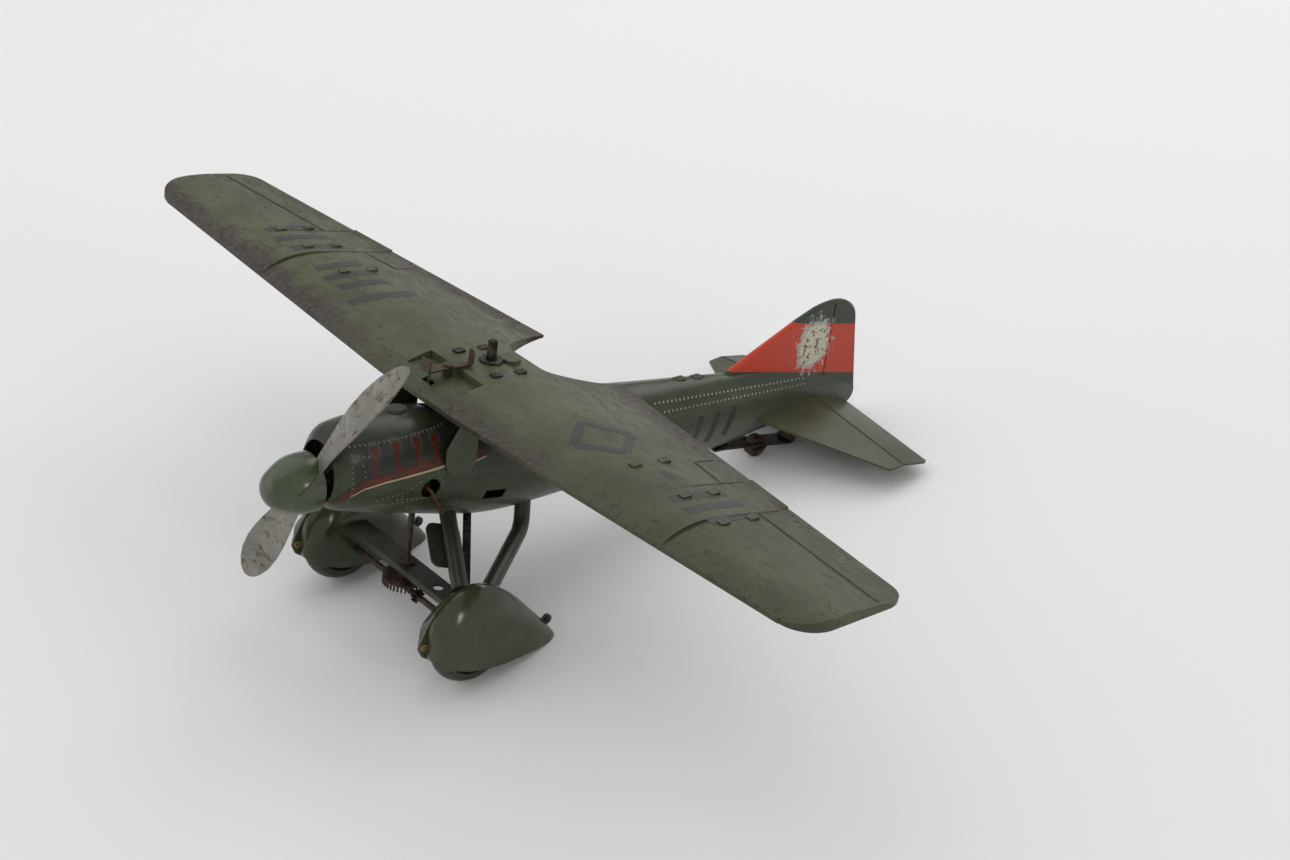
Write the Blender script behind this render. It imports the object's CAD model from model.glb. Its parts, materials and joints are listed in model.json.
import json
import math
import bpy
from mathutils import Matrix, Vector
from mathutils.bvhtree import BVHTree


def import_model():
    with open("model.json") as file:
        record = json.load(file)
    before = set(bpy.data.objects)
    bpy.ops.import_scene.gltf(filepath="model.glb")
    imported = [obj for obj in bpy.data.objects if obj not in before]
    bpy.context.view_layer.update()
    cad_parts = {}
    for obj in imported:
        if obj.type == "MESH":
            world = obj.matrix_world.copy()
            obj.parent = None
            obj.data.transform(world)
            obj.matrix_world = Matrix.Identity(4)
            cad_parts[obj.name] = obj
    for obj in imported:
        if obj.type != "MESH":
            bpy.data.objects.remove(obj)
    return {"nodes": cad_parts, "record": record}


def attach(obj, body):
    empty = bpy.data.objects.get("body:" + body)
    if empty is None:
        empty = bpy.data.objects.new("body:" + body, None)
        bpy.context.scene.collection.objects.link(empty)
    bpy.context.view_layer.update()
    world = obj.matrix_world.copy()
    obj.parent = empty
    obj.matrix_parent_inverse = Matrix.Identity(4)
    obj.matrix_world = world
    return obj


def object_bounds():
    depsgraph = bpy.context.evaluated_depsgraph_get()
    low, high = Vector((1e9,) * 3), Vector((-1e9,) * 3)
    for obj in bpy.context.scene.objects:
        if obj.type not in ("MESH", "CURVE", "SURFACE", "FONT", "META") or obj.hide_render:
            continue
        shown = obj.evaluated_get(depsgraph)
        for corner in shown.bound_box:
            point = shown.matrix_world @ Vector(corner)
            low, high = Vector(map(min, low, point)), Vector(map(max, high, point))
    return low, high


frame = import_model()
CAD_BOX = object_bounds()
NODES = frame["nodes"]
JOINTS = {joint["name"]: joint for joint in frame["record"]["behaviour"]["joints"]}
SIDES = ((1, "left"), (-1, "right"))

# ---- level axes of the airplane, worked out from the drive shaft, which stands upright in them ----
MM = 0.001
DRIVE_PIVOT = Vector((0, -0.047, -0.040))  # where the shaft's joint stands in level axes, in metres
UP = Vector(JOINTS["drive_spin"]["axis"])
PITCH = math.atan2(UP.y, UP.z)
TURN = Matrix.Rotation(-PITCH, 3, "X")
ORIGIN = Vector(JOINTS["drive_spin"]["pos_m"]) - TURN @ DRIVE_PIVOT


def world(x, y, z):
    """Point in the airplane's level axes, in millimetres, to scene metres."""
    return ORIGIN + TURN @ (Vector((x, y, z)) * MM)


# ---- material building blocks ----
class Paint:
    """A node material whose patterns are laid out in the airplane's level axes, in millimetres."""

    def __init__(self, name):
        self.mat = bpy.data.materials.new(name)
        self.mat.use_nodes = True
        self.tree = self.mat.node_tree
        self.bsdf = self.tree.nodes["Principled BSDF"]
        coord = self.node("ShaderNodeTexCoord")
        place = self.node("ShaderNodeMapping")
        place.vector_type = "TEXTURE"
        place.inputs["Location"].default_value = ORIGIN
        place.inputs["Rotation"].default_value = (-PITCH, 0, 0)
        place.inputs["Scale"].default_value = (MM, MM, MM)
        self.link(coord.outputs["Object"], place.inputs["Vector"])
        self.where = place.outputs["Vector"]
        split = self.node("ShaderNodeSeparateXYZ")
        self.link(self.where, split.inputs[0])
        self.x, self.y, self.z = split.outputs

    def node(self, kind):
        return self.tree.nodes.new(kind)

    def link(self, source, socket):
        self.tree.links.new(source, socket)

    def put(self, socket, value):
        if isinstance(value, bpy.types.NodeSocket):
            self.link(value, socket)
        else:
            socket.default_value = value

    def math(self, operation, a, b=0.0):
        node = self.node("ShaderNodeMath")
        node.operation = operation
        self.put(node.inputs[0], a)
        self.put(node.inputs[1], b)
        return node.outputs[0]

    def plus(self, a, b):
        return self.math("ADD", a, b)

    def minus(self, a, b):
        return self.math("SUBTRACT", a, b)

    def times(self, a, b):
        return self.math("MULTIPLY", a, b)

    def larger(self, a, b):
        return self.math("MAXIMUM", a, b)

    def noise(self, scale, detail, rough, stretch=None, offset=0.0):
        """Cloudy pattern; scale in cells per millimetre, offset picks another part of the cloud."""
        vector = self.where
        if stretch or offset:
            mapping = self.node("ShaderNodeMapping")
            mapping.inputs["Scale"].default_value = stretch or (1, 1, 1)
            mapping.inputs["Location"].default_value = (offset, offset * 0.7, offset * 1.3)
            self.link(vector, mapping.inputs["Vector"])
            vector = mapping.outputs["Vector"]
        node = self.node("ShaderNodeTexNoise")
        node.inputs["Scale"].default_value = scale
        node.inputs["Detail"].default_value = detail
        node.inputs["Roughness"].default_value = rough
        self.link(vector, node.inputs["Vector"])
        return node.outputs["Fac"]

    def wobble(self, size, scale, detail, rough, offset):
        """Noise centred on zero, of a size."""
        return self.times(self.minus(self.noise(scale, detail, rough, offset=offset), 0.5), size)

    def step(self, value, low, high):
        """Smooth step from 0 at low to 1 at high, in either direction."""
        node = self.node("ShaderNodeMapRange")
        node.interpolation_type = "SMOOTHSTEP"
        self.put(node.inputs["Value"], value)
        node.inputs["From Min"].default_value = min(low, high)
        node.inputs["From Max"].default_value = max(low, high)
        if low > high:
            node.inputs["To Min"].default_value = 1.0
            node.inputs["To Max"].default_value = 0.0
        return node.outputs["Result"]

    def mix(self, factor, a, b):
        node = self.node("ShaderNodeMix")
        node.data_type = "RGBA"
        self.put(node.inputs["Factor"], factor)
        for letter, value in (("A", a), ("B", b)):
            socket = next(s for s in node.inputs if s.type == "RGBA" and s.name == letter)
            self.put(socket, value if isinstance(value, bpy.types.NodeSocket) else (*value, 1.0))
        return next(s for s in node.outputs if s.type == "RGBA")

    def between(self, value, low, high, soft):
        return self.times(self.step(value, low, low + soft), self.step(value, high + soft, high))

    def finish(self, colour, rough, bump, strength, distance):
        self.put(self.bsdf.inputs["Base Color"], colour)
        self.put(self.bsdf.inputs["Roughness"], rough)
        node = self.node("ShaderNodeBump")
        node.inputs["Strength"].default_value = strength
        node.inputs["Distance"].default_value = distance
        self.link(bump, node.inputs["Height"])
        self.link(node.outputs["Normal"], self.bsdf.inputs["Normal"])
        return self.mat


RUST_DARK, RUST_MID, RUST_WARM = (0.045, 0.024, 0.018), (0.095, 0.045, 0.028), (0.19, 0.075, 0.028)
TARNISH_DARK, TARNISH_LIGHT = (0.050, 0.029, 0.019), (0.095, 0.052, 0.030)
SCRATCH_GREY = (0.20, 0.19, 0.16)
ENAMEL_BUMP, METAL_BUMP, METAL_RELIEF = 0.00012, 0.0001, 0.35


def scaled(colour, share):
    return tuple(c * share for c in colour)


def enamel(name, colour, wear, gloss, zones=None, edges=None, fade=0.25, relief=0.35, sheen=0.3):
    """Old lithographed enamel: mottled colour, speckled rust, worn-through scratches and dirt."""
    p = Paint(name)
    drift = p.step(p.noise(0.035, 5, 0.62), 0.32, 0.68)
    lighter = tuple(min(1, c * (1 + fade) + 0.004) for c in colour)
    base = p.mix(drift, scaled(colour, 1 - fade), lighter)
    fine = p.step(p.noise(0.42, 6, 0.7, offset=9), 0.4, 0.72)
    base = p.mix(p.times(fine, 0.35), base, scaled(colour, 0.62))
    if zones:
        base = zones(p, base)
    cloud = p.noise(0.055, 5, 0.65, offset=31)
    if edges:
        cloud = p.plus(cloud, edges(p))
    patch = p.step(cloud, 0.62 - 0.17 * wear, 0.80 - 0.12 * wear)
    speckle = p.step(p.noise(0.55, 9, 0.72, offset=4), 0.64 - 0.10 * wear, 0.70 - 0.10 * wear)
    sparse = p.step(p.noise(0.75, 7, 0.7, offset=77), 0.695 - 0.03 * wear, 0.715 - 0.03 * wear)
    rust = p.larger(p.times(patch, speckle), sparse)
    tone = p.mix(p.step(p.noise(0.3, 5, 0.6, offset=15), 0.38, 0.66), RUST_DARK, RUST_MID)
    tone = p.mix(p.step(p.noise(1.4, 3, 0.6, offset=52), 0.60, 0.72), tone, RUST_WARM)
    rusted = p.mix(rust, base, tone)
    scratch = p.step(p.noise(0.9, 3, 0.5, stretch=(0.22, 1.6, 1.1), offset=23), 0.735, 0.755)
    worn = p.mix(p.times(scratch, 0.35), rusted, SCRATCH_GREY)
    grain = p.noise(1.6, 4, 0.6, offset=3)
    rough = p.plus(p.times(rust, 0.42), p.times(grain, 0.3 * relief))
    rough = p.plus(rough, gloss - 0.1 * relief)
    height = p.plus(p.times(rust, -0.6), p.times(grain, 0.5 * relief))
    p.bsdf.inputs["Specular IOR Level"].default_value = sheen
    return p.finish(worn, rough, height, relief, ENAMEL_BUMP)


def bare_metal(name, colour, rust, shine):
    """Bare sheet or bar: dull metal, brown tarnish and rust pits."""
    p = Paint(name)
    base = p.mix(p.step(p.noise(0.10, 5, 0.6), 0.35, 0.66), scaled(colour, 0.72), colour)
    stain = p.step(p.noise(0.28, 7, 0.72, offset=6), 0.60 - 0.20 * rust, 0.68 - 0.14 * rust)
    pits = p.step(p.noise(1.1, 6, 0.7, offset=40), 0.64 - 0.08 * rust, 0.68 - 0.08 * rust)
    spoiled = p.larger(p.times(stain, 0.85), pits)
    tone = p.mix(p.step(p.noise(0.6, 4, 0.6, offset=12), 0.4, 0.65), TARNISH_DARK, TARNISH_LIGHT)
    grain = p.noise(0.9, 4, 0.6, stretch=(3.0, 0.5, 3.0), offset=8)
    rough = p.plus(p.times(spoiled, 0.35), p.times(grain, 0.2))
    rough = p.plus(rough, shine - 0.08)
    p.put(p.bsdf.inputs["Metallic"], p.step(spoiled, 1.0, -0.4))
    p.bsdf.inputs["IOR"].default_value = 1.5
    height = p.plus(p.times(spoiled, -0.5), p.times(grain, 0.25))
    return p.finish(p.mix(spoiled, base, tone), rough, height, METAL_RELIEF, METAL_BUMP)


# ---- painted areas of the fuselage ----
NOSE_SHADE, CYLINDER_SHADE, BELLY_GREY = (0.014, 0.017, 0.010), (0.013, 0.015, 0.011), (0.105, 0.108, 0.094)
FIN_RED, FIN_GREEN = (0.46, 0.045, 0.018), (0.036, 0.047, 0.028)
SCUFF_GREY, PATCH_CREAM, PATCH_BROWN = (0.40, 0.39, 0.37), (0.52, 0.49, 0.38), (0.13, 0.07, 0.03)
FIN_START = 100
FOOT_SLOPE, ROOF_SLOPE = 0.2053, 0.19
PATCH_Y, PATCH_Z, PATCH_HALF_LENGTH, PATCH_HALF_HEIGHT = 149.0, -24.5, 9.5, 11.0


def fuselage_zones(p, base):
    """Dark upper nose and cylinder panel, paler belly, red fin band with its scraped patch."""
    nose = p.times(p.step(p.y, -20, -70), p.step(p.z, -24, -12))
    base = p.mix(p.times(nose, 0.55), base, NOSE_SHADE)
    panel = p.times(p.between(p.z, -27, -19, 2.5), p.between(p.y, -86, -30, 5))
    base = p.mix(p.times(panel, 0.8), base, CYLINDER_SHADE)
    base = p.mix(p.times(p.step(p.z, -40, -52), 0.7), base, BELLY_GREY)
    aft = p.step(p.y, FIN_START, FIN_START + 4)
    above_foot = p.plus(p.z, p.times(p.y, FOOT_SLOPE))
    below_roof = p.plus(p.z, p.times(p.y, ROOF_SLOPE))
    base = p.mix(p.times(aft, p.step(above_foot, -12.0, -10.5)), base, FIN_GREEN)
    band = p.times(p.step(above_foot, -6.7, -6.3), p.step(below_roof, 13.3, 12.9))
    base = p.mix(p.times(aft, band), base, FIN_RED)
    along = p.math("DIVIDE", p.minus(p.y, PATCH_Y), PATCH_HALF_LENGTH)
    up = p.math("DIVIDE", p.minus(p.z, PATCH_Z), PATCH_HALF_HEIGHT)
    ring = p.math("SQRT", p.plus(p.times(along, along), p.times(up, up)))
    ragged = p.plus(ring, p.wobble(3.4, 0.35, 8, 0.8, 61))
    scuff = p.times(p.step(ragged, 1.12, 0.9), aft)
    base = p.mix(p.times(scuff, 0.9), base, SCUFF_GREY)
    core = p.plus(ring, p.wobble(0.5, 0.3, 6, 0.6, 66))
    core = p.times(p.step(core, 0.86, 0.80), aft)
    cream = p.mix(p.step(p.noise(0.5, 5, 0.7, offset=72), 0.53, 0.57), PATCH_CREAM, PATCH_BROWN)
    return p.mix(core, base, cream)


def fuselage_edges(p):
    """Less rust than elsewhere, apart from the underside of the belly."""
    return p.plus(p.times(p.step(p.z, -52, -60), 0.08), -0.05)


# ---- painted areas of the wing ----
THIN_GREY, NEAR_GREEN, LEAD_GREEN = (0.13, 0.135, 0.11), (0.034, 0.042, 0.019), (0.036, 0.046, 0.020)
FLAKED_BROWN, STAIN_LIGHT, STAIN_DARK = (0.036, 0.031, 0.022), (0.055, 0.043, 0.037), (0.022, 0.014, 0.011)
LEAD_SWEEP, TRAIL_SWEEP = 0.031, 0.154


def wing_places(p):
    """Way out from the centre line, and coordinates that follow the leading and the trailing edge."""
    out = p.math("ABSOLUTE", p.x)
    return out, p.minus(p.y, p.times(out, LEAD_SWEEP)), p.plus(p.y, p.times(out, TRAIL_SWEEP))


def wing_edges(p):
    """More rust along the leading edge, the trailing edge, the centre and the tips."""
    out, lead, trail = wing_places(p)
    front = p.times(p.step(lead, -41.0, -50.5), 0.30)
    rear = p.times(p.step(trail, 14, 28), 0.20)
    centre = p.times(p.times(p.step(p.y, -12, 6), p.step(out, 70, 25)), 0.10)
    tips = p.times(p.step(out, 172, 190), 0.14)
    return p.plus(p.plus(front, rear), p.plus(tips, centre))


def wing_zones(p, base):
    """Thin grey paint aft, darker left wing and front edge, flaking, brown stains at both edges."""
    out, lead, trail = wing_places(p)
    thin = p.times(p.step(p.noise(0.05, 6, 0.7, offset=88), 0.45, 0.62), 0.45)
    base = p.mix(p.times(p.step(p.y, -32, 12), thin), base, THIN_GREY)
    base = p.mix(p.times(p.step(p.x, 20, 90), 0.35), base, NEAR_GREEN)
    front_edge = p.times(p.step(p.minus(p.y, p.times(p.x, 0.03)), -36, -48), 0.5)
    base = p.mix(front_edge, base, LEAD_GREEN)
    streak = p.noise(0.22, 8, 0.75, stretch=(0.5, 1.7, 1.0), offset=120)
    aft = p.step(p.plus(p.y, p.times(out, 0.1)), -34, 20)
    flaked = p.step(p.plus(streak, p.times(aft, 0.075)), 0.56, 0.61)
    base = p.mix(p.times(flaked, 0.75), base, FLAKED_BROWN)
    wander = p.wobble(26.0, 0.09, 7, 0.7, 140)
    right_wing = p.times(p.step(p.x, -25, -75), 0.75)
    left_root = p.times(p.between(p.x, 6, 62, 12), 0.5)
    reach = p.plus(p.plus(right_wing, left_root), 0.18)
    front = p.times(p.step(p.plus(lead, wander), -41.0, -46.5), reach)
    rear = p.times(p.step(p.plus(trail, wander), 18.0, 24.5), p.step(out, 120, 60))
    stain = p.mix(p.step(p.noise(0.35, 8, 0.8, offset=150), 0.44, 0.58), STAIN_LIGHT, STAIN_DARK)
    return p.mix(p.larger(front, rear), base, stain)


# ---- finishes of the CAD pieces ----
body_paint = enamel(
    "litho_green_fuselage", (0.037, 0.046, 0.023), 0.25, 0.30, fuselage_zones, fuselage_edges, relief=0.2
)
wing_paint = enamel("litho_green_wing", (0.066, 0.077, 0.034), 0.85, 0.38, wing_zones, wing_edges)
under_paint = enamel("litho_green_under", (0.060, 0.068, 0.045), 0.6, 0.42)
bracket_paint = enamel("litho_green_bracket", (0.058, 0.073, 0.038), 0.25, 0.30, relief=0.15)
tail_paint = enamel("litho_green_tail", (0.052, 0.056, 0.025), 0.55, 0.36, relief=0.2)
pod_paint = enamel("gloss_green_spat", (0.037, 0.044, 0.020), 0.62, 0.18, relief=0.08, sheen=0.5)
spinner_paint = enamel("gloss_green_spinner", (0.045, 0.062, 0.027), 0.45, 0.22, relief=0.08, sheen=0.5)
strut_paint = enamel("grey_green_strut", (0.040, 0.044, 0.029), 0.35, 0.32, relief=0.12)
channel_paint = enamel("dark_channel", (0.032, 0.032, 0.023), 0.6, 0.38, relief=0.2)
wheel_paint = enamel("green_wheel", (0.038, 0.042, 0.026), 0.9, 0.4, relief=0.2)
blade_metal = bare_metal("bare_tin_blade", (0.285, 0.272, 0.240), 0.40, 0.46)
brown_steel = bare_metal("brown_steel", (0.055, 0.036, 0.028), 0.75, 0.48)
dark_steel = bare_metal("dark_steel", (0.038, 0.032, 0.027), 0.5, 0.38)
lever_steel = bare_metal("lever_steel", (0.078, 0.058, 0.045), 0.62, 0.46)
brass_metal = bare_metal("old_brass", (0.40, 0.29, 0.13), 0.35, 0.34)
wire_paint = enamel("dull_red_wire", (0.070, 0.022, 0.017), 0.7, 0.45)

# the first entry that a node's name starts with gives its finish; all the others are brown steel
FINISHES = (
    (body_paint, ("fuselage", "nose_cap")),
    (wing_paint, ("wing_upper", "wing_rib")),
    (under_paint, ("wing_lower",)),
    (bracket_paint, ("wing_bracket",)),
    (tail_paint, ("stabilizer",)),
    (pod_paint, ("spat_left", "spat_right")),
    (spinner_paint, ("spinner",)),
    (wheel_paint, ("wheel_left", "wheel_right")),
    (strut_paint, ("front_strut", "rear_strut", "strut_cuff")),
    (channel_paint, ("cross_channel",)),
    (dark_steel, ("propeller_", "winding_arbor", "arbor_collar", "motor_top", "tail_strip")),
    (blade_metal, ("propeller",)),
    (lever_steel, ("brake_",)),
    (brass_metal, ("spat_eyelets", "great_wheel", "second_wheel", "contrate")),
    (wire_paint, ("side_wire",)),
)
for name, piece in NODES.items():
    finish = next((mat for mat, starts in FINISHES if name.startswith(starts)), brown_steel)
    for slot in piece.material_slots:
        slot.material = finish


# ---- printed decoration, laid on the pressed surfaces ----
def tree_of(*names):
    """Ray-casting tree over CAD nodes."""
    verts, faces = [], []
    for name in names:
        mesh = NODES[name].data
        start = len(verts)
        verts += [NODES[name].matrix_world @ v.co for v in mesh.vertices]
        faces += [[start + i for i in poly.vertices] for poly in mesh.polygons]
    return BVHTree.FromPolygons(verts, faces)


SHELLS = tree_of("fuselage_left_shell", "fuselage_right_shell")
WING = tree_of("wing_upper_skin")
STABS = tree_of("stabilizer_left", "stabilizer_right")
SPIN = tree_of("spinner")
# millimetres: where rays start, counted from the axes, and the size of a stripe's cells
RAY_START, SPINNER_RAY_START, SPINNER_AXIS_HEIGHT = 60, 40, -29.5
CELL_LENGTH, CELL_WIDTH = 1.3, 1.5
# metres: the gap under a print, and how far a print's cell or a dot's spoke may stretch over an edge
PRINT_LIFT, LONGEST_CELL, LONGEST_SPOKE = 0.00006, 0.008, 0.004
DOME_SIDES, DISC_SIDES, DISC_RINGS = 8, 24, 3


def onto_side(sign):
    """Projector for the fuselage side: (aft, up) millimetres."""
    inwards = TURN @ Vector((-sign, 0, 0))

    def project(a, b, lift):
        hit, normal, _, _ = SHELLS.ray_cast(world(sign * RAY_START, a, b), inwards)
        if hit is None:
            return None
        normal = normal if normal.dot(inwards) < 0 else -normal
        return hit + normal * (PRINT_LIFT + lift)
    return project


def from_above(tree):
    """Projector for upper surfaces: (left, aft) millimetres."""
    down = TURN @ Vector((0, 0, -1))

    def project(a, b, lift):
        hit, normal, _, _ = tree.ray_cast(world(a, b, RAY_START), down)
        if hit is None:
            return None
        normal = normal if normal.z > 0 else -normal
        return hit + normal * (PRINT_LIFT + lift)
    return project


def onto_spinner(a, b, lift):
    """Projector for the spinner: aft in millimetres, around in degrees."""
    angle = math.radians(b)
    outwards = Vector((math.cos(angle), 0, math.sin(angle)))
    centre = Vector((0, a, SPINNER_AXIS_HEIGHT))
    hit = SPIN.ray_cast(world(*(centre + outwards * SPINNER_RAY_START)), TURN @ -outwards)[0]
    return None if hit is None else hit + TURN @ outwards * (PRINT_LIFT + lift)


class Print:
    """Collects projected faces and turns them into one mesh."""

    def __init__(self):
        self.verts, self.faces = [], []

    def sheet(self, grid, project, lift=0.0):
        rows = [[project(a, b, lift) for a, b in row] for row in grid]
        for top, bottom in zip(rows, rows[1:]):
            for i in range(len(top) - 1):
                quad = (top[i], top[i + 1], bottom[i + 1], bottom[i])
                if any(v is None for v in quad) or max((quad[0] - v).length for v in quad) > LONGEST_CELL:
                    continue
                start = len(self.verts)
                self.verts += quad
                self.faces.append(tuple(range(start, start + 4)))

    def stripe(self, points, width, project, lift=0.0):
        """Band of a width along a polyline; width may be a pair for its two ends."""
        ends = width if isinstance(width, tuple) else (width, width)
        path = []
        total = sum(math.dist(a, b) for a, b in zip(points, points[1:]))
        run = 0.0
        for a, b in zip(points, points[1:]):
            length = math.dist(a, b)
            count = max(1, int(length / CELL_LENGTH))
            nx, ny = -(b[1] - a[1]) / length, (b[0] - a[0]) / length
            for i in range(count + (b == points[-1])):
                t = i / count
                wide = ends[0] + (ends[1] - ends[0]) * (run + length * t) / total
                path.append((a[0] + (b[0] - a[0]) * t, a[1] + (b[1] - a[1]) * t, nx, ny, wide))
            run += length
        across = max(1, int(max(ends) / CELL_WIDTH))
        shares = [k / across - 0.5 for k in range(across + 1)]
        grid = [[(x + nx * w * share, y + ny * w * share) for share in shares] for x, y, nx, ny, w in path]
        self.sheet(grid, project, lift)

    def dome(self, a, b, radius, project, height):
        """Small raised dot."""
        centre = project(a, b, height)
        if centre is None:
            return
        start = len(self.verts)
        self.verts.append(centre)
        for share, lift in ((0.6, height * 0.75), (1.0, 0.0)):
            for i in range(DOME_SIDES):
                angle = 2 * math.pi * i / DOME_SIDES
                reach = radius * share
                spot = project(a + reach * math.cos(angle), b + reach * math.sin(angle), lift)
                self.verts.append(spot if spot and (spot - centre).length < LONGEST_SPOKE else centre)
        inner, outer = start + 1, start + 1 + DOME_SIDES
        for i in range(DOME_SIDES):
            j = (i + 1) % DOME_SIDES
            self.faces.append((start, inner + i, inner + j))
            self.faces.append((inner + i, outer + i, outer + j, inner + j))

    def disc(self, a, b, radius_a, radius_b, project, lift=0.0):
        angles = [2 * math.pi * i / DISC_SIDES for i in range(DISC_SIDES + 1)]
        for ring in range(DISC_RINGS):
            edges = (ring / DISC_RINGS, (ring + 1) / DISC_RINGS)
            grid = [[(a + radius_a * r * math.cos(t), b + radius_b * r * math.sin(t)) for t in angles]
                    for r in edges]
            self.sheet(grid, project, lift)

    def make(self, name, mat, slot, body="airframe"):
        mesh = bpy.data.meshes.new(name)
        mesh.from_pydata(self.verts, [], self.faces)
        mesh.validate()
        mesh.materials.append(mat)
        piece = bpy.data.objects.new(name, mesh)
        bpy.context.collection.objects.link(piece)
        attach(piece, body)


def dot_row(out, project, first, last, pitch, radius):
    """Printed rivets between two places."""
    count = max(1, round(math.dist(first, last) / pitch))
    for i in range(count + 1):
        t = i / count
        a, b = first[0] + (last[0] - first[0]) * t, first[1] + (last[1] - first[1]) * t
        out.dome(a, b, radius, project, RIVET_HEIGHT)


ink = enamel("black_ink", (0.022, 0.023, 0.020), 0.45, 0.38, fade=0.1)
grey_ink = enamel("grey_ink", (0.036, 0.037, 0.033), 0.75, 0.42, fade=0.15)
exhaust_ink = enamel("rust_red_ink", (0.090, 0.015, 0.005), 0.45, 0.32, fade=0.5)
cream_ink = enamel("cream_ink", (0.42, 0.31, 0.18), 0.3, 0.34)
dot_ink = enamel("rivet_cream", (0.33, 0.34, 0.22), 0.15, 0.36)
faded_dot_ink = enamel("rivet_grey", (0.13, 0.14, 0.105), 0.3, 0.36)
grey_print = enamel("cylinder_grey", (0.048, 0.046, 0.040), 0.3, 0.34)
rusty_line = enamel("rusty_line", (0.055, 0.033, 0.022), 0.9, 0.55)

# fuselage side, (aft, up) in millimetres: rivet rows by their ends
BRIGHT_RIVETS = (((57, -28.2), (145, -38.6)), ((61, -31.9), (146, -41.2)), ((4, -36.5), (50, -34)))
FADED_RIVETS = (
    ((-84.5, -20), (-84.0, -38)), ((-80.5, -20), (-80.0, -24)), ((-82, -38), (-56, -37.5)),
    ((-74, -34.6), (-63, -33)), ((-63, -33), (-57, -28.5)), ((-57, -28.5), (-41, -27.2)),
    ((-46, -34.2), (-4, -36)), ((-42, -30.4), (-8, -33.5)), ((-84, -14), (-45, -14.2)),
    ((-84, -16.4), (-78, -17.5)), ((-9, -38), (-3, -50)), ((-5.5, -38), (0.5, -50)),
    ((-52, -42), (-14, -47.5)), ((-60, -41.6), (-52, -42)), ((-66, -36), (-46, -38.5)),
    ((-50, -30), (-47, -36)),
)
BRIGHT_PITCH, BRIGHT_RADIUS, FADED_PITCH, FADED_RADIUS = 2.35, 0.42, 1.9, 0.36
RIVET_HEIGHT = 0.00016
# each cylinder's place aft, the height of its head and the height its exhaust stub starts at
CYLINDERS = ((-75.5, -15.6, -15.8), (-67, -15.4, -15.6), (-58.3, -15.8, -16.0), (-50.6, -16.2, -16.4))
PIPE_SHADOW = [(-88, -33.8), (-84.6, -28), (-79, -24.2), (-68, -22.6), (-48.6, -21.6)]
PIPE = [(-88.5, -35.5), (-85.6, -30.5), (-79.2, -26.6), (-68.4, -25.0), (-58, -24.1), (-48.6, -23.6)]
CREAM_LINE = [(-84.2, -31.2), (-80, -28.6), (-72.2, -27.2), (-60, -26.4), (-48.4, -25.9)]
STUB_FOOT = -24.6
SIDE_BARS = (78, 88, 98)
LOUVRES = 4
# how far each print is raised above PRINT_LIFT, in metres, so that it lies over the one under it
HEAD_LIFT, TAIL_PIPE_LIFT, PIPE_LIFT = 0.00004, 0.00005, 0.00006
STUB_LIFT, LINE_LIFT = 0.00008, 0.0001

for sign, word in SIDES:
    project = onto_side(sign)
    bright, faded = Print(), Print()
    for first, last in BRIGHT_RIVETS:
        dot_row(bright, project, first, last, BRIGHT_PITCH, BRIGHT_RADIUS)
    for first, last in FADED_RIVETS:
        dot_row(faded, project, first, last, FADED_PITCH, FADED_RADIUS)
    bright.make(f"rivet_dots_{word}", dot_ink, "green_enamel")
    faded.make(f"faded_rivet_dots_{word}", faded_dot_ink, "green_enamel")

    shadow = Print()
    shadow.stripe(PIPE_SHADOW, 1.6, project)
    for y, top, _ in CYLINDERS:
        shadow.disc(y, top - 0.2, 3.9, 3.5, project)
        shadow.stripe([(y - 2.1, top - 2), (y - 2.2, top - 8)], 1.4, project)
        shadow.stripe([(y + 1.9, top - 2), (y + 1.2, top - 7)], 1.0, project)
    for i in range(LOUVRES):
        shadow.stripe([(-46.5 + 2.5 * i, -37.4), (-48.0 + 2.6 * i, -41.6)], 0.9, project)
    for y in SIDE_BARS:
        past = y - SIDE_BARS[0]
        shadow.stripe([(y, -52.5 + past * 0.05), (y + 4.5, -38.5 - past * 0.06)], 3.4, project)
    shadow.make(f"side_shading_{word}", ink, "green_enamel")

    heads = Print()
    for y, top, _ in CYLINDERS:
        heads.disc(y, top, 2.6, 2.3, project, HEAD_LIFT)
    heads.make(f"cylinder_heads_{word}", grey_print, "green_enamel")

    red = Print()
    red.stripe(PIPE, (2.0, 3.0), project, PIPE_LIFT)
    for y, _, top in CYLINDERS:
        red.stripe([(y, top), (y - 0.6, STUB_FOOT)], (2.1, 1.7), project, STUB_LIFT)
        red.disc(y, top, 1.5, 1.2, project, STUB_LIFT)
    red.stripe([(-34.6, -19.5), (-33.4, -25.5)], (2.6, 2.2), project, TAIL_PIPE_LIFT)
    red.stripe([(-36.0, -25.6), (-29.5, -25.2)], 2.2, project, PIPE_LIFT)
    red.make(f"exhaust_print_{word}", exhaust_ink, "green_enamel")

    cream = Print()
    cream.stripe(CREAM_LINE, (0.45, 0.9), project, LINE_LIFT)
    cream.stripe([(-35.4, -27.2), (-29.7, -26.6)], 0.6, project, LINE_LIFT)
    cream.make(f"cream_line_{word}", cream_ink, "green_enamel")

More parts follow.
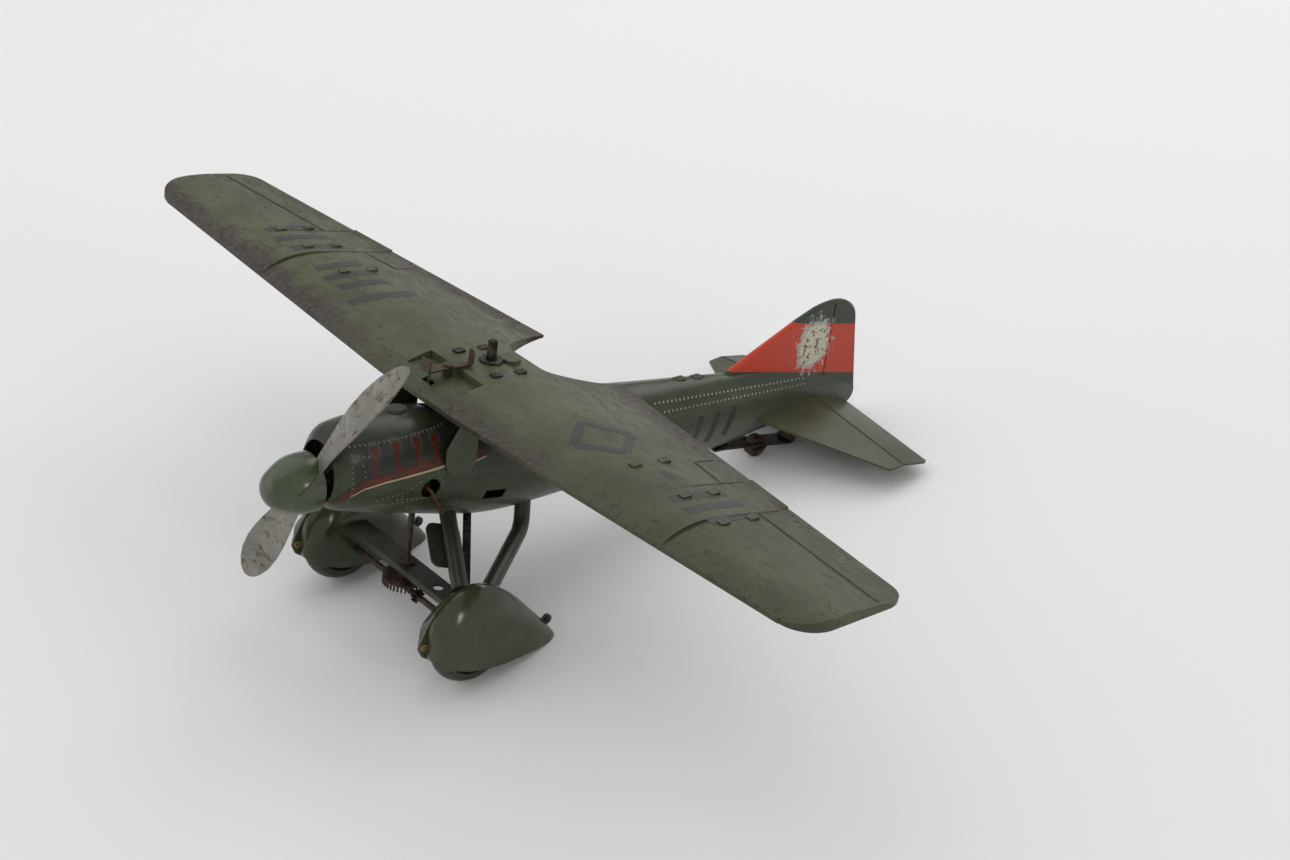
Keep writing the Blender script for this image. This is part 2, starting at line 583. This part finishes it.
# wing top, (left, aft) in millimetres: stripes by their ends and width
WING_MARKS = (
    ((65, -33), (53, -20), 3.6), ((53, -20), (65, -7), 3.6), ((65, -7), (77, -20), 3.6),
    ((77, -20), (65, -33), 3.6), ((111, -30), (111, -6), 4.2), ((119, -31), (119, -6), 4.2),
    ((127.5, -28), (127.5, -8), 4.2), ((92, -17.5), (98.5, -17.5), 3.2), ((-110, -31), (-110, -8), 4.4),
    ((-120, -32), (-120, -8), 4.4), ((-130, -30), (-130, -9), 4.4), ((-74, -33), (-74, -12), 4.4),
    ((-83, -34), (-83, -11), 4.4), ((-92, -32), (-92, -12), 4.4), ((-62, -37), (-62, -7), 5.0),
)
PANEL_LINES = (
    ((126.5, -5), (188, -12.6), 1.0), ((87.6, 2.0), (105, -1.2), 0.8), ((104.6, -47), (104.6, 9), 0.5),
    ((126.6, -46), (126.6, 5), 0.5), ((87.6, 2.0), (87.6, 11), 0.6),
)
ELEVATOR_LINES = (((4, 151.8), (53.5, 155.0), 0.7),)
ELEVATOR_LIFT = 0.00008


def on_both_sides(stripes, project, lift):
    """The stripes of the left side and their mirror images on the right."""
    out = Print()
    for sign, _ in SIDES:
        for (x0, y0), (x1, y1), width in stripes:
            out.stripe([(sign * x0, y0), (sign * x1, y1)], width, project, lift)
    return out


top = from_above(WING)
marks = Print()
for first, last, width in WING_MARKS:
    marks.stripe([first, last], width, top)
marks.make("wing_marks", grey_ink, "wing_enamel")
lines = on_both_sides(PANEL_LINES, top, LINE_LIFT)
lines.make("wing_panel_lines", rusty_line, "wing_enamel")
elevators = on_both_sides(ELEVATOR_LINES, from_above(STABS), ELEVATOR_LIFT)
elevators.make("elevator_lines", rusty_line, "green_enamel")


def tube(name, points, radius, mat, body="airframe"):
    """Thin bead along a run of points in scene metres."""
    curve = bpy.data.curves.new(name, "CURVE")
    curve.dimensions = "3D"
    curve.bevel_depth = radius
    curve.bevel_resolution = 3
    spline = curve.splines.new("POLY")
    spline.points.add(len(points) - 1)
    for point, spot in zip(spline.points, points):
        point.co = (*spot, 1.0)
    piece = bpy.data.objects.new(name, curve)
    curve.materials.append(mat)
    bpy.context.collection.objects.link(piece)
    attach(piece, body)


# bead along the joint of the two shells, probed just beside it and moved back onto it
SEAM_FRONT, SEAM_BACK, SEAM_PITCH, SEAM_STEPS = -86, 96, 2.6, 70
SEAM_PROBE_X, SEAM_PROBE_HEIGHT = 0.35, 40
SEAM_SHIFT, SEAM_RADIUS = Vector((-0.00035, 0, -0.00012)), 0.00028
seam = []
for i in range(SEAM_STEPS):
    y = SEAM_FRONT + i * SEAM_PITCH
    hit = SHELLS.ray_cast(world(SEAM_PROBE_X, y, SEAM_PROBE_HEIGHT), TURN @ Vector((0, 0, -1)))[0]
    if hit is not None and y < SEAM_BACK:
        seam.append(hit + SEAM_SHIFT)
tube("top_seam", seam, SEAM_RADIUS, rusty_line)

# two curved creases over the spinner, half a turn apart: millimetres aft, degrees around
CREASE_STARTS, CREASE_WIDTH, CREASE_ROWS = (47.0, 227.0), 5.0, 8
CREASE_FOOT, CREASE_STEP, CREASE_CURL = -93.2, 1.4, 6.0
creases = Print()
for start in CREASE_STARTS:
    places = [(CREASE_FOOT - CREASE_STEP * i, start - CREASE_CURL * i) for i in range(CREASE_ROWS)]
    rows = [[(aft, around + side * CREASE_WIDTH) for side in range(2)] for aft, around in places]
    creases.sheet(rows, onto_spinner)
creases.make("spinner_creases", rusty_line, "pod_enamel", "airscrew")

# ---- stage: a sheet of pale paper, curving up behind the airplane; metres ----
PAPER_GREY, PAPER_ROUGHNESS = (0.80, 0.80, 0.80, 1), 0.85
PAPER_HALF, PAPER_FLAT_END, PAPER_BEND, PAPER_WALL, PAPER_BEND_STEPS = 4.0, 1.6, 1.2, 2.8, 12
PAPER_TURN = Matrix.Rotation(math.radians(48), 3, "Z")

paper = bpy.data.materials.new("pale_paper")
paper.use_nodes = True
paper.node_tree.nodes["Principled BSDF"].inputs["Base Color"].default_value = PAPER_GREY
paper.node_tree.nodes["Principled BSDF"].inputs["Roughness"].default_value = PAPER_ROUGHNESS
bend = [a * math.pi / (2 * PAPER_BEND_STEPS) for a in range(1, PAPER_BEND_STEPS + 1)]
profile = [(-PAPER_HALF, 0.0), (PAPER_FLAT_END, 0.0)]
profile += [
    (PAPER_FLAT_END + PAPER_BEND * math.sin(a), PAPER_BEND - PAPER_BEND * math.cos(a)) for a in bend
]
profile += [(PAPER_WALL, PAPER_HALF)]
verts = [PAPER_TURN @ Vector((x, y, z)) for x in (-PAPER_HALF, PAPER_HALF) for y, z in profile]
count = len(profile)
faces = [(k, k + 1, count + k + 1, count + k) for k in range(count - 1)]
mesh = bpy.data.meshes.new("paper_sweep")
mesh.from_pydata(verts, [], faces)
for poly in mesh.polygons:
    poly.use_smooth = True
floor = bpy.data.objects.new("paper_sweep", mesh)
mesh.materials.append(paper)
bpy.context.collection.objects.link(floor)

# ---- light: each lamp's name, place in metres, disk diameter and power ----
middle = (Vector(CAD_BOX[0]) + Vector(CAD_BOX[1])) / 2
LAMPS = (
    ("key_overhead", middle + Vector((-0.9, -0.1, 1.5)), 2.4, 9),
    ("fill_left", middle + Vector((-0.7, -1.3, 0.5)), 1.4, 4),
    ("glint_left", Vector((1.145, 0.06, 0.487)), 0.22, 1.2),
    ("back_glow", middle + Vector((-0.3, 1.3, 1.0)), 1.2, 7),
)
WORLD_GREY, WORLD_STRENGTH = (0.94, 0.94, 0.94, 1), 0.67

for name, spot, size, power in LAMPS:
    light = bpy.data.lights.new(name, "AREA")
    light.shape = "DISK"
    light.size = size
    light.energy = power
    lamp = bpy.data.objects.new(name, light)
    lamp.location = spot
    lamp.rotation_euler = (middle - spot).to_track_quat("-Z", "Y").to_euler()
    bpy.context.collection.objects.link(lamp)
studio = bpy.data.worlds.new("studio")
studio.use_nodes = True
studio.node_tree.nodes["Background"].inputs[0].default_value = WORLD_GREY
studio.node_tree.nodes["Background"].inputs[1].default_value = WORLD_STRENGTH
bpy.context.scene.world = studio
bpy.context.scene.view_settings.view_transform = "Standard"

# ---- camera: three-quarter view from the front left, looking down on the wing; millimetres ----
DISTANCE, TARGET = 841.1, Vector((31.3, 31.9, -23.3))
AZIMUTH, ELEVATION, ROLL = (math.radians(v) for v in (45.5, 26.3, 8.6))
FOCAL_LENGTH, SENSOR_WIDTH = 64.18, 36.0

flat = math.cos(ELEVATION)
back = Vector((math.sin(AZIMUTH) * flat, -math.cos(AZIMUTH) * flat, math.sin(ELEVATION)))
level = Vector((math.cos(AZIMUTH), math.sin(AZIMUTH), 0))
upright = back.cross(level)
right = level * math.cos(ROLL) + upright * math.sin(ROLL)
upward = upright * math.cos(ROLL) - level * math.sin(ROLL)
turn = Matrix((TURN @ right, TURN @ upward, TURN @ back)).transposed()
lens = bpy.data.cameras.new("camera")
lens.lens = FOCAL_LENGTH
lens.sensor_width = SENSOR_WIDTH
lens.clip_start = 0.01
camera = bpy.data.objects.new("camera", lens)
camera.matrix_world = Matrix.Translation(world(*(TARGET + back * DISTANCE))) @ turn.to_4x4()
bpy.context.collection.objects.link(camera)
bpy.context.scene.camera = camera
